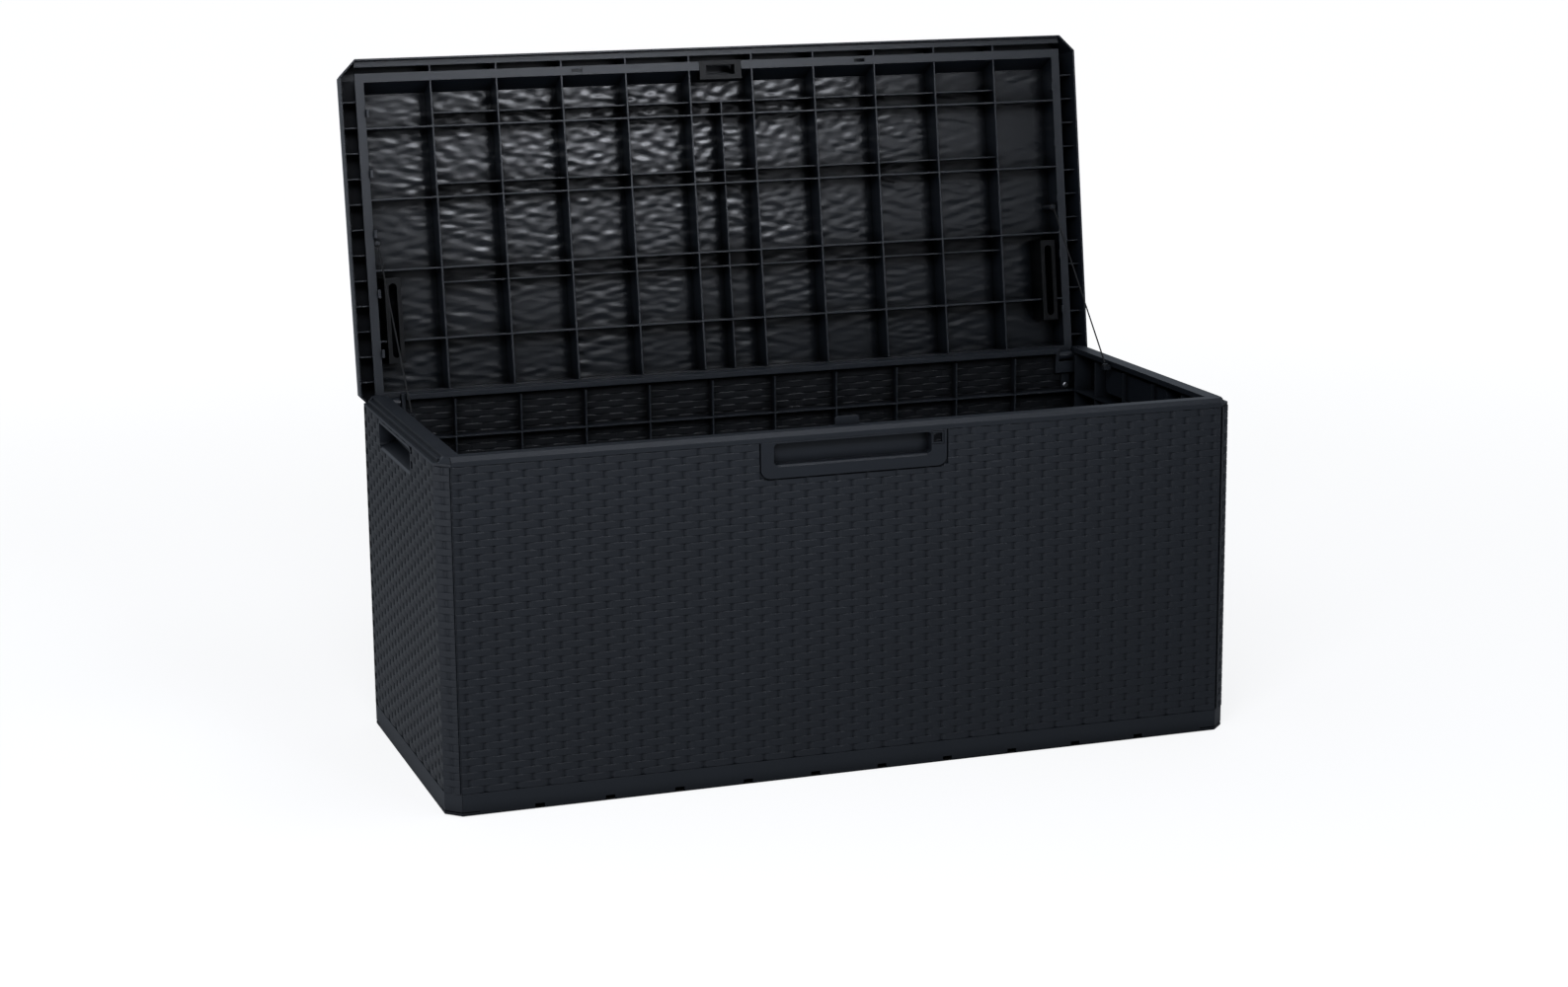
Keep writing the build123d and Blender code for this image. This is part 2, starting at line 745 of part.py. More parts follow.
def box_cord_tab(side):
    """Tab at an end wall's rim lip, with a round peg that holds the lower end of a stay cord."""
    lip = half_length - side_wall_depth
    peg_top = rim_height - box_peg_drop
    with BuildPart() as tab:
        with BuildSketch(Plane.XY.offset(peg_top - peg_stand)):
            with Locations((side * (cord_place - peg_radius + lip) / 2, box_peg_depth)):
                Rectangle(lip - cord_place + peg_radius, tab_width)
        extrude(amount=-tab_thickness)
        with BuildSketch(Plane.XY.offset(peg_top - peg_stand)):
            with Locations((side * cord_place, box_peg_depth)):
                Circle(peg_radius)
        extrude(amount=peg_stand)
    return tab.part


def end_clearance(run, face_normal):
    """How far up a slanted cord its cut end has to sit to stay just clear of a peg's flat end."""
    lean = run.dot(face_normal)
    return (cord_gap + cord_radius * math.sqrt(1 - lean**2)) / lean


def stay_cord(side):
    """Taut cord between the two pegs of one end, ending just clear of their flat ends."""
    upper = lid_plane.from_local_coords(Vector(side * cord_place, lid_peg_height, -lid_peg_depth))
    lower = Vector(side * cord_place, box_peg_depth, rim_height - box_peg_drop)
    run = (lower - upper).normalized()
    upper_clearance = end_clearance(run, lid_plane.z_dir)
    lower_clearance = end_clearance(run * -1, Vector(0, 0, 1))
    with BuildPart() as cord:
        with BuildSketch(Plane(origin=upper + run * upper_clearance, z_dir=run)):
            Circle(cord_radius)
        extrude(amount=(lower - upper).length - upper_clearance - lower_clearance)
    return cord.part


for name, side in (("left", -1), ("right", 1)):
    save(stay_rail(side * rail_place), f"{name}_stay_rail")
    save(lid_cord_peg(side * cord_place), f"{name}_lid_cord_peg")
    save(box_cord_tab(side), f"{name}_box_cord_tab")
    save(stay_cord(side), f"{name}_stay_cord")
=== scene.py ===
# %% [markdown]
# # Deck storage box
# A garden storage box in dark moulded polypropylene: four walls with a woven relief, a floor tray,
# recessed grips, and a ribbed lid that leans back on two cord stays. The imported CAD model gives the
# frame, so every piece here is placed in its metres: X along the box, the front towards -Y, Z up.

# %% Load the frame
import json
import math

import bpy
import numpy as np
from mathutils import Matrix, Vector


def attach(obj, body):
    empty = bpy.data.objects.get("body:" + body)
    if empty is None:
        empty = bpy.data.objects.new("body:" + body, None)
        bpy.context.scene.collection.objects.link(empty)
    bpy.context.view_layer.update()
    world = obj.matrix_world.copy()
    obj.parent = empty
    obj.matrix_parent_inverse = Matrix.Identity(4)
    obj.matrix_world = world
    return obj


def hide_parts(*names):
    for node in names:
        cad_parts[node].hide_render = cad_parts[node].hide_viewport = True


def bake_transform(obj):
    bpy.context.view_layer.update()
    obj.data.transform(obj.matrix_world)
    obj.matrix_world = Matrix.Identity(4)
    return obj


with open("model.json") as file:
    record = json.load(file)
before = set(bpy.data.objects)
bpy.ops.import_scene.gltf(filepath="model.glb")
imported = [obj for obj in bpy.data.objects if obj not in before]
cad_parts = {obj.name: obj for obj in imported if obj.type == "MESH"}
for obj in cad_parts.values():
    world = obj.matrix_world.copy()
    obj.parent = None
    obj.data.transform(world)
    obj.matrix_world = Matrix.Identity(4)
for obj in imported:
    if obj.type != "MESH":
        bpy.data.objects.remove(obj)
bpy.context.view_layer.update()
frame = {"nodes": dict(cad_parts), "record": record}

nodes = frame["nodes"]
MM = 0.001

# %% [markdown]
# ## Camera
# The photograph was taken from the front left, well above the rim, with a slightly long lens. A camera
# could be aimed with a track constraint, but a fitted camera has a slight roll as well, so it is written as
# its place and its three directions.

# %% Camera at the photograph's angle
IMAGE_WIDTH = 1588
FOCAL_PIXELS = 3055
SENSOR_WIDTH = 36.0
YAW, PITCH, ROLL = math.radians(19.0), math.radians(12.45), math.radians(-0.57)
TARGET = Vector((-0.016, 0.0, 0.361))
DISTANCE = 4.52

forward = Vector((math.sin(YAW) * math.cos(PITCH), math.cos(YAW) * math.cos(PITCH), -math.sin(PITCH)))
level_right = Vector((math.cos(YAW), -math.sin(YAW), 0.0))
level_up = level_right.cross(forward)
right = math.cos(ROLL) * level_right + math.sin(ROLL) * level_up
up = math.cos(ROLL) * level_up - math.sin(ROLL) * level_right

camera = bpy.data.objects.new("camera", bpy.data.cameras.new("camera"))
bpy.context.scene.collection.objects.link(camera)
bpy.context.scene.camera = camera
camera.data.sensor_width = SENSOR_WIDTH
camera.data.lens = SENSOR_WIDTH * FOCAL_PIXELS / IMAGE_WIDTH
turn = Matrix((right, up, -forward)).transposed().to_4x4()
camera.matrix_world = Matrix.Translation(TARGET - DISTANCE * forward) @ turn
print("camera at", [round(v, 3) for v in camera.location], "lens", round(camera.data.lens, 2), "mm")

# %% [markdown]
# ## Materials
# The box is injection-moulded polypropylene, dyed through in anthracite. Its walls leave a fine-grained
# tool, which gives a soft satin sheen; the lid's underside leaves a polished tool and shines. Colours
# are written as sRGB hex values, and one function turns them to the linear values that Blender uses.

# %% Colours and nodes
def linear(code):
    """Linear RGBA of an sRGB hex colour such as '#25282c'."""
    parts = [int(code[i:i + 2], 16) / 255 for i in (1, 3, 5)]
    return [p / 12.92 if p <= 0.04045 else ((p + 0.055) / 1.055) ** 2.4 for p in parts] + [1.0]


def add_node(tree, kind, links=(), inputs=(), **settings):
    """Adds a shader node, sets its options and inputs, and links {input: (node, output)}."""
    node = tree.nodes.new(kind)
    for name, value in settings.items():
        setattr(node, name, value)
    for name, value in dict(inputs).items():
        node.inputs[name].default_value = value
    for name, (source, output) in dict(links).items():
        tree.links.new(source.outputs[output], node.inputs[name])
    return node


def empty_material(name):
    """A new material and its node tree, with no nodes in it."""
    material = bpy.data.materials.new(name)
    material.use_nodes = True
    material.node_tree.nodes.clear()
    return material, material.node_tree


print("black and white", linear("#000000"), linear("#ffffff"))

# %% [markdown]
# ## Moulded plastic
# Polypropylene has a refractive index of 1.49, and its dye is never quite even, so two close colours are
# mixed by a soft noise. The grain of the tool is a finer noise that moves both the normal and the
# roughness. Moulded edges are never sharp: a bevel node rounds their shading without new faces. A deep
# hollow between ribs or strands looks nearly black on dark plastic, because it mirrors only its own walls.
# A plain surface shader shows too little of that, so shade is painted into the hollows: colour and gloss
# fade with the share of the room that a point sees.

# %% Moulded plastic
PLASTIC_IOR = 1.49
CLOUD_SCALE = 14.0  # clouds of about 70 mm
GRAIN_STRENGTH = 0.6
GRAIN_SHEEN = 0.06
# Painted shade in hollows: where a point sees less of the room, its colour and gloss fade towards
# HOLLOW_LEFT.
HOLLOW_SEEN, OPEN_SEEN = 0.2, 0.9  # shares of the room seen from a hollow's bottom and from an open face
HOLLOW_LEFT = 0.15  # share of colour and gloss that is left in a hollow


def moulded_plastic(
    name, colour, dark, roughness, grain_mm, grain_depth, stretch=(1, 1, 1), edge_mm=0.0, shade_reach_mm=30.0,
    shine=0.5,
):
    """Moulded plastic: a faint cloudiness of the dye, a grain that the tool left on its face, and painted
    shade in its hollows.
    """
    material, tree = empty_material(name)
    place = add_node(tree, "ShaderNodeTexCoord")
    spread = add_node(tree, "ShaderNodeMapping", {"Vector": (place, "Object")}, {"Scale": stretch})
    cloud = add_node(
        tree, "ShaderNodeTexNoise", {"Vector": (place, "Object")}, {"Scale": CLOUD_SCALE, "Detail": 4.0}
    )
    tint = add_node(tree, "ShaderNodeMix", {"Factor": (cloud, "Fac")}, data_type="RGBA")
    tint.inputs["A"].default_value = linear(dark)
    tint.inputs["B"].default_value = linear(colour)
    # Painted shade: the share of the room that a point sees darkens its colour and its gloss.
    room_seen = add_node(tree, "ShaderNodeAmbientOcclusion", {}, {"Distance": shade_reach_mm * MM}, samples=8)
    unshaded_share = add_node(
        tree, "ShaderNodeMapRange", {"Value": (room_seen, "AO")},
        {"From Min": HOLLOW_SEEN, "From Max": OPEN_SEEN, "To Min": HOLLOW_LEFT, "To Max": 1.0},
    )
    shade = add_node(tree, "ShaderNodeMix", {"Factor": (unshaded_share, "Result")}, data_type="RGBA")
    shade.inputs["A"].default_value = (0.0, 0.0, 0.0, 1.0)
    tree.links.new(tint.outputs["Result"], shade.inputs["B"])
    gloss = add_node(tree, "ShaderNodeMath", {0: (unshaded_share, "Result")}, {1: shine}, operation="MULTIPLY")
    grain = add_node(
        tree, "ShaderNodeTexNoise", {"Vector": (spread, "Vector")},
        {"Scale": 1 / (grain_mm * MM), "Detail": 3.0},
    )
    bump = add_node(
        tree, "ShaderNodeBump", {"Height": (grain, "Fac")},
        {"Strength": GRAIN_STRENGTH, "Distance": grain_depth * MM},
    )
    if edge_mm:
        soft_edge = add_node(tree, "ShaderNodeBevel", {}, {"Radius": edge_mm * MM}, samples=4)
        tree.links.new(soft_edge.outputs["Normal"], bump.inputs["Normal"])
    sheen = add_node(
        tree, "ShaderNodeMapRange", {"Value": (grain, "Fac")},
        {"To Min": roughness - GRAIN_SHEEN, "To Max": roughness + GRAIN_SHEEN},
    )
    surface = add_node(
        tree, "ShaderNodeBsdfPrincipled",
        {
            "Base Color": (shade, "Result"), "Normal": (bump, "Normal"), "Roughness": (sheen, "Result"),
            "Specular IOR Level": (gloss, "Value"),
        },
        {"IOR": PLASTIC_IOR, "Specular IOR Level": shine},
    )
    add_node(tree, "ShaderNodeOutputMaterial", {"Surface": (surface, "BSDF")})
    return material


# %% Plastics of the walls, the grips and the lid
# Every plastic here, the cord's too, gets painted shade in its hollows, reaching 30 mm unless a shorter
# reach is given.
# All grains here are drawn at 2 to 5 mm, coarser than the real 0.3 mm, to show.
# Walls: satin, from a spark-eroded tool, so that light spreads softly over them.
wall_plastic = moulded_plastic(
    "satin_moulded_polypropylene", "#181d24", "#151a20", 0.52, 2.0, 0.05, edge_mm=1.0
)
weave_plastic = moulded_plastic(
    "woven_moulded_polypropylene", "#181d24", "#14181e", 0.58, 2.0, 0.05, shade_reach_mm=10.0
)
# Ends: the same weave from a smoother tool, so the strands catch the light one by one. Their colour and
# gloss are drawn darker than the front's, a painted shade on the ends.
shaded_end_plastic = moulded_plastic(
    "woven_moulded_polypropylene_ends", "#10141a", "#0c0f13", 0.42, 2.0, 0.05, shade_reach_mm=10.0, shine=0.27
)
# Inside: the same plastic with painted shade, drawn darker because little of the room's light gets there.
shaded_inner_plastic = moulded_plastic(
    "inner_moulded_polypropylene", "#0d1014", "#0a0c0f", 0.44, 3.0, 0.05, shine=0.4
)
# Grips: plain faces with faint flow lines along the box.
grip_plastic = moulded_plastic(
    "plain_moulded_polypropylene", "#1a1f26", "#14181e", 0.45, 2.5, 0.10, (0.05, 1, 1), edge_mm=1.0,
    shade_reach_mm=16.0,
)
# Lid: polished tool, which mirrors the light more, and most of all on the skin between its ribs. The skin is
# drawn darker than the ribs, a painted shade in the cells between them.
lid_plastic = moulded_plastic(
    "polished_moulded_polypropylene", "#181d24", "#14181e", 0.40, 5.0, 0.05, (0.4, 1, 1), edge_mm=0.8
)
shaded_skin_plastic = moulded_plastic(
    "rippled_moulded_polypropylene", "#0f1318", "#0b0e12", 0.24, 4.0, 0.05, (0.3, 1, 1)
)
# Stay rails and latch: a blacker, harder plastic that stands out from the lid.
black_nylon = moulded_plastic(
    "black_moulded_nylon", "#090a0c", "#060708", 0.40, 3.0, 0.05, edge_mm=0.6, shine=0.2
)
print("plastics", [m.name for m in bpy.data.materials if "moulded" in m.name])

# %% [markdown]
# ## Steel and cord
# The hinge pins and screws are zinc-plated steel: a pale metal whose thin plating is a little uneven, so
# a fine noise moves its roughness. The stay cords are twisted polyester, matt and black. A cord this
# thin needs no shader of its own, so it takes the plastic's with a fine, deep grain for its fibres.

# %% Steel and cord
PLATING_SCALE = 900.0  # specks of about 1 mm, coarser than the real plating, to show
PLATING_SHEEN = 0.08


def steel(name, colour, roughness):
    """Zinc-plated steel: a pale metal with a fine variation in its roughness."""
    material, tree = empty_material(name)
    place = add_node(tree, "ShaderNodeTexCoord")
    grain = add_node(
        tree, "ShaderNodeTexNoise", {"Vector": (place, "Object")}, {"Scale": PLATING_SCALE, "Detail": 2.0}
    )
    rough = add_node(
        tree, "ShaderNodeMapRange", {"Value": (grain, "Fac")},
        {"To Min": roughness - PLATING_SHEEN, "To Max": roughness + PLATING_SHEEN},
    )
    surface = add_node(
        tree, "ShaderNodeBsdfPrincipled", {"Roughness": (rough, "Result")},
        {"Base Color": linear(colour), "Metallic": 1.0},
    )
    add_node(tree, "ShaderNodeOutputMaterial", {"Surface": (surface, "BSDF")})
    return material


# Steel: the one bright finish, which gives the hinges their small glints.
zinc_steel = steel("zinc_plated_steel", "#b9bbbd", 0.35)
# Cord: matt, with fibres drawn at 0.6 mm, coarser than the real ones, to show.
cord_fibre = moulded_plastic("twisted_polyester_cord", "#0b0b0c", "#070708", 0.75, 0.6, 0.10)
print("steel and cord", zinc_steel.name, cord_fibre.name)

# %% [markdown]
# ## Finishes of the CAD pieces
# Most pieces keep their CAD shape and only need a finish. The record says what each one is made of, so
# its slot chooses the material, and three pieces in black nylon are named one by one.

# %% Materials on the CAD pieces
finish_of_slot = {
    "wall_plastic": wall_plastic,
    "grip_plastic": grip_plastic,
    "lid_plastic": lid_plastic,
    "zinc_steel": zinc_steel,
    "stay_cord": cord_fibre,
}
finish_of_node = {"left_stay_rail": black_nylon, "right_stay_rail": black_nylon, "lid_latch": black_nylon}
for entry in frame["record"]["subparts"]:
    mesh = nodes[entry["node"]].data
    mesh.materials.clear()
    mesh.materials.append(finish_of_node.get(entry["node"], finish_of_slot[entry["material_slot"]]))

# %% [markdown]
# ## Meshes from grids
# The weave and the lid's wavy skin are height fields: a regular grid whose points stand out of a plane
# by a depth that a formula gives. A displace modifier could do it with a texture, but arrays are faster
# and exact. One helper turns such a grid into a mesh and can leave cells out.

# %% Grid helper
def grid_piece(name, points, keep, material, body):
    """A sheet from an array of points (rows, columns, 3) in metres; keep says which cells it has."""
    rows, columns = points.shape[:2]
    index = np.arange(rows * columns).reshape(rows, columns)
    quads = np.stack([index[:-1, :-1], index[:-1, 1:], index[1:, 1:], index[1:, :-1]], -1)[keep]
    used = np.unique(quads)
    renumber = np.zeros(rows * columns, int)
    renumber[used] = np.arange(len(used))
    quads = renumber[quads]
    mesh = bpy.data.meshes.new(name)
    mesh.vertices.add(len(used))
    mesh.vertices.foreach_set("co", points.reshape(-1, 3)[used].astype(np.float32).ravel())
    mesh.loops.add(quads.size)
    mesh.loops.foreach_set("vertex_index", quads.astype(np.int32).ravel())
    mesh.polygons.add(len(quads))
    mesh.polygons.foreach_set("loop_start", np.arange(0, quads.size, 4, dtype=np.int32))
    mesh.polygons.foreach_set("use_smooth", np.ones(len(quads), bool))
    mesh.update()
    mesh.validate()
    mesh.materials.append(material)
    piece = bpy.data.objects.new(name, mesh)
    bpy.context.scene.collection.objects.link(piece)
    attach(piece, body)
    print(name, len(used), "points")
    return piece


# %% [markdown]
# ## Woven walls
# The walls copy wicker: flat strands, 10 mm high, run along the wall and pass behind every second of the
# upright stakes, which stand 22.7 mm apart. The next strand passes behind where this one is in front,
# so a brickwork of flat, slightly bowed strands is left, with a narrow dark pit where one dives behind its
# stake. It could be a bump map, but the real relief is about 3 mm and it shades itself, so it is
# modelled: the wall's recessed field gets a sheet whose depth at each point comes from a formula.

# %% Weave formula
STAKE_PITCH = 22.7
STRAND_PITCH = 10.3
PIT_HALF = 2.6
ROUNDED_SHARE = 0.18  # of half a strand's height, at its upper and lower edge
PANEL_RELIEF, END_RELIEF = (0.5, 0.6, 1.7), (0.35, 1.1, 1.35)  # edge, bow and pit of a strand


def weave_shape(along, height, edge, bow, pit):
    """Height of the weave at places on the wall, all in mm: strands' edges, bow and pits go below 0."""
    row = np.floor(height / STRAND_PITCH + 1e-6)
    across = np.abs(height / STRAND_PITCH - row - 0.5) * 2
    flat_face = np.clip((1 - across) / ROUNDED_SHARE, 0, 1)
    phase = (along / STAKE_PITCH + row + 1) / 2
    from_pit = (phase - np.round(phase)) * 2 * STAKE_PITCH
    dive = np.exp(-np.abs(from_pit / PIT_HALF) ** 3)
    arch = 0.5 - 0.5 * np.cos(math.pi * from_pit / STAKE_PITCH)
    return -edge * (1 - flat_face) - bow * (1 - arch) - pit * dive


pit_and_crest = weave_shape(np.array([-STAKE_PITCH, 0.0]), np.full(2, STRAND_PITCH / 2), *PANEL_RELIEF)
print("weave at a pit and at a crest", np.round(pit_and_crest, 2), "mm")

# %% [markdown]
# ## Woven sheets
# An even grid fine enough for the pits would be heavy, so the grid lines lie close together at the pits
# and at the strands' edges, and wide between them. Holes leave room for the grips and the hinges: the
# nearest grid line is moved onto each side of a hole, so that its rim is straight.

# %% Woven sheet on a plane
STAKE_SHARES = (-0.14, -0.1, -0.05, 0.05, 0.1, 0.14, 0.32, 0.5, 0.68)
STRAND_SHARES = (0.0, 0.09, 0.16, 0.84, 0.91, 0.98)
LINE_MARGIN = 0.1


def sample_lines(low, high, pitch, shares):
    """Places from low to high in mm, at the same shares of every pitch."""
    steps = np.arange(math.floor(low / pitch) - 1, math.ceil(high / pitch) + 1)
    lines = (steps[:, None] + np.array(shares)).ravel() * pitch
    inside = (lines > low + LINE_MARGIN) & (lines < high - LINE_MARGIN)
    return np.concatenate([[low], lines[inside], [high]])


def weave_skin(name, origin, along_axis, outward, length, low, high, holes, relief, crest, material):
    """A woven sheet on a plane. Holes are (left, right, low, high, corner radius) in mm on the plane."""
    u = sample_lines(-length / 2, length / 2, STAKE_PITCH, STAKE_SHARES)
    v = sample_lines(low, high, STRAND_PITCH, STRAND_SHARES)
    for left, right_end, foot, top, _ in holes:
        for line, edges in ((u, (left, right_end)), (v, (foot, top))):
            for edge in edges:
                if line[0] < edge < line[-1]:
                    line[np.argmin(np.abs(line - edge))] = edge
    across, height = np.meshgrid(u, v)
    depth = crest + weave_shape(across, height, *relief)
    points = (
        np.array(origin)
        + across[..., None] * np.array(along_axis)
        + depth[..., None] * np.array(outward)
        + height[..., None] * np.array((0.0, 0.0, 1.0))
    ) * MM
    middle_u = (across[:-1, :-1] + across[1:, 1:]) / 2
    middle_v = (height[:-1, :-1] + height[1:, 1:]) / 2
    keep = np.ones(middle_u.shape, bool)
    for left, right_end, foot, top, corner in holes:
        du = np.maximum(np.abs(middle_u - (left + right_end) / 2) - (right_end - left) / 2 + corner, 0)
        dv = np.maximum(np.abs(middle_v - (foot + top) / 2) - (top - foot) / 2 + corner, 0)
        keep &= np.hypot(du, dv) > corner
    piece = grid_piece(name, points, keep, material, "box")


# %% Weave on the outside of the four walls
BORDER_TOP, SEAM = 31.0, 495.0  # the weave starts above the plain foot and ends below the rim
HALF_LENGTH, HALF_DEPTH = 600.0, 255.0
PANEL_LENGTH, END_LENGTH = 1158.0, 463.4
OUTER_CREST = -0.15
front_hole = [(-139.5, 145.5, 440.5, 520.0, 14.0)]
left_hole = [(-130.0, 90.0, 450.5, 493.5, 10.0)]
right_hole = [(-90.0, 130.0, 450.5, 493.5, 10.0)]
hinge_holes = [(-573.3, -534.7, 466.7, 520.0, 0.5), (534.7, 573.3, 466.7, 520.0, 0.5)]
walls = (
    ("front", (0, -1, 0), (1, 0, 0), HALF_DEPTH, PANEL_LENGTH, front_hole, PANEL_RELIEF, weave_plastic),
    ("back", (0, 1, 0), (-1, 0, 0), HALF_DEPTH, PANEL_LENGTH, hinge_holes, PANEL_RELIEF, weave_plastic),
    ("left", (-1, 0, 0), (0, -1, 0), HALF_LENGTH, END_LENGTH, left_hole, END_RELIEF, shaded_end_plastic),
    ("right", (1, 0, 0), (0, 1, 0), HALF_LENGTH, END_LENGTH, right_hole, END_RELIEF, shaded_end_plastic),
)
for name, outward, along_axis, distance, length, holes, relief, finish in walls:
    weave_skin(
        f"{name}_weave", np.array(outward) * distance, along_axis, outward, length, BORDER_TOP, SEAM, holes,
        relief, OUTER_CREST, finish,
    )

# %% [markdown]
# ## Weave inside
# The inner face of each wall shows the same weave, shallower, between its ribs. The sheet lies 1.5 mm off
# the CAD wall and the ribs stand through it, so it needs no cut-outs but those of the outside.

# %% Shallower weave on the inside, between the ribs
FLOOR_TOP, INNER_FACE = 18.0, 6.0
INNER_TRIM = 6.0
INNER_RELIEF, INNER_CREST = (0.3, 0.8, 0.35), 1.55
for name, outward, along_axis, distance, length, holes, _, _ in walls:
    weave_skin(
        f"{name}_inner_weave", np.array(outward) * (distance - INNER_FACE), along_axis, -np.array(outward),
        length - INNER_TRIM, FLOOR_TOP, SEAM, holes, INNER_RELIEF, INNER_CREST, shaded_inner_plastic,
    )

# %% [markdown]
# ## Corner posts
# The bevelled posts carry the weave round the corners of the box. Each gets a narrow sheet of its own on
# its 45 degree face, because a sheet bent round the corner would stretch the strands.

# %% Weave on the bevelled corner posts
POST_FACE = 25.0
POST_X, POST_Y = 589.65, 244.35  # middle of a post's bevelled face
POST_RELIEF, POST_CREST = (0.6, 0.5, 1.4), 1.8
corners = (("front_left", -1, -1), ("front_right", 1, -1), ("back_left", -1, 1), ("back_right", 1, 1))
for name, x_side, y_side in corners:
    outward = np.array((x_side, y_side, 0.0)) / math.sqrt(2)
    weave_skin(
        f"{name}_post_weave", np.array((x_side * POST_X, y_side * POST_Y, 0.0)),
        np.cross((0.0, 0.0, 1.0), outward), outward, POST_FACE, BORDER_TOP, SEAM, (),
        POST_RELIEF, POST_CREST, weave_plastic,
    )

# %% [markdown]
# ## Caps of the posts
# A small sloping cap closes each post between the two rims that meet there. It is a block with four
# corners at its foot and four smaller ones at its top, so its points and faces are simply listed for one
# corner and mirrored to the others. Mirroring once turns the faces inside out, so they are reversed there.

# %% Caps over the corner posts
CAP_FOOT, CAP_TOP = 499.0, 507.9
foot_plan = [(579.2, 231.7), (593.0, 231.7), (593.0, 239.5), (579.2, 253.3)]
top_plan = [(579.2, 231.7), (586.0, 231.7), (586.0, 240.5), (579.2, 247.3)]
cap_points = [(x, y, CAP_FOOT) for x, y in foot_plan] + [(x, y, CAP_TOP) for x, y in top_plan]
cap_faces = [(4, 5, 6, 7)] + [(k, (k + 1) % 4, 4 + (k + 1) % 4, 4 + k) for k in range(4)]
for name, x_side, y_side in corners:
    faces = cap_faces if x_side * y_side > 0 else [face[::-1] for face in cap_faces]
    mesh = bpy.data.meshes.new(f"{name}_corner_cap")
    mesh.from_pydata([(x_side * x * MM, y_side * y * MM, z * MM) for x, y, z in cap_points], [], faces)
    mesh.materials.append(wall_plastic)
    cap = bpy.data.objects.new(f"{name}_corner_cap", mesh)
    bpy.context.scene.collection.objects.link(cap)
    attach(cap, "box")
print("corner caps", len(corners))

# %% [markdown]
# ## Places on the lid
# The lid's pieces are easiest to place on the lid itself: along it, up it from its rear edge, and out of its
# underside. The CAD model draws the lid open, as in the photograph, so an origin and three directions do.

# %% Frame of the open lid
OPEN_ANGLE = math.radians(97.8)
LID_ORIGIN = np.array((0.0, 257.0, 482.96))
LID_ALONG = np.array((1.0, 0.0, 0.0))
LID_UP = np.array((0.0, -math.cos(OPEN_ANGLE), math.sin(OPEN_ANGLE)))
LID_OUT = np.array((0.0, -math.sin(OPEN_ANGLE), -math.cos(OPEN_ANGLE)))


def on_lid(along, height, stand):
    """A place on the open lid in mm: along it, up it from the rear edge, and out of its underside."""
    return LID_ORIGIN + along * LID_ALONG + height * LID_UP + stand * LID_OUT


print("top edge of the lid near", np.round(on_lid(0, 510, 0), 1), "mm")

# %% [markdown]
# ## Stay cords
# Each stay is a thin twisted cord, drawn tight between a peg on the lid and a peg at the rim. A curve
# with a bevel would give a smooth wire, so only the line comes from a curve; the tube round it is built
# from rings with three lobes that turn along it, as three strands do.

# %% Line and twisted tube
TWIST_PITCH = 9.0
STRANDS = 3
LOBE_DEPTH = 0.08


def spline_points(name, route):
    """Points in metres along a smooth line through a route's control points, given in metres."""
    data = bpy.data.curves.new(name, "CURVE")
    data.dimensions = "3D"
    spline = data.splines.new("NURBS")
    spline.points.add(len(route) - 1)
    for point, place in zip(spline.points, route):
        point.co = (*place, 1.0)
    spline.order_u = 3
    spline.use_endpoint_u = True
    spline.resolution_u = 16
    holder = bpy.data.objects.new(name, data)
    bpy.context.scene.collection.objects.link(holder)
    bpy.context.view_layer.update()
    mesh = bpy.data.meshes.new_from_object(holder)
    points = np.array([v.co for v in mesh.vertices])
    bpy.data.objects.remove(holder)
    bpy.data.meshes.remove(mesh)
    return points


def twisted_tube(name, points, radius, closed=False, around=15, step=0.0011):
    """A twisted cord as a mesh tube along points in metres, and the line that it follows."""
    if closed:
        points = np.vstack([points, points[:1]])
    run = np.concatenate([[0], np.cumsum(np.linalg.norm(np.diff(points, axis=0), axis=1))])
    count = max(8, int(run[-1] / step))
    at = np.linspace(0, run[-1], count + 1)[: count if closed else count + 1]
    line = np.stack([np.interp(at, run, points[:, k]) for k in range(3)], -1)
    tangent = np.gradient(line, axis=0)
    if closed:
        tangent = np.roll(line, -1, 0) - np.roll(line, 1, 0)
    tangent /= np.linalg.norm(tangent, axis=1)[:, None]
    helper = (1.0, 0.0, 0.0) if abs(tangent[0][0]) < 0.7 else (0.0, 0.0, 1.0)
    side = np.cross(tangent, np.array(helper))
    side /= np.linalg.norm(side, axis=1)[:, None]
    top = np.cross(side, tangent)
    angle = np.linspace(0, 2 * math.pi, around, endpoint=False)
    turns = at / (TWIST_PITCH * MM) * 2 * math.pi
    lobes = radius * (1 - LOBE_DEPTH + LOBE_DEPTH * np.cos(STRANDS * (angle[None] - turns[:, None])))
    ring = line[:, None] + lobes[..., None] * (
        np.cos(angle)[None, :, None] * side[:, None] + np.sin(angle)[None, :, None] * top[:, None]
    )
    loops = len(line)
    faces = []
    for i in range(loops if closed else loops - 1):
        a, b = i * around, (i + 1) % loops * around
        faces += [(a + k, a + (k + 1) % around, b + (k + 1) % around, b + k) for k in range(around)]
    if not closed:
        faces += [tuple(range(around))[::-1], tuple((loops - 1) * around + k for k in range(around))]
    mesh = bpy.data.meshes.new(name)
    mesh.from_pydata(ring.reshape(-1, 3).tolist(), [], faces)
    mesh.polygons.foreach_set("use_smooth", np.ones(len(faces), bool))
    mesh.materials.append(cord_fibre)
    piece = bpy.data.objects.new(name, mesh)
    bpy.context.scene.collection.objects.link(piece)
    print(name, loops, "rings")
    return piece, line


# %% [markdown]
# ## Both stays
# A cord ends just clear of its pegs, and a small loop goes round each peg. Each loop stays with its own
# peg.

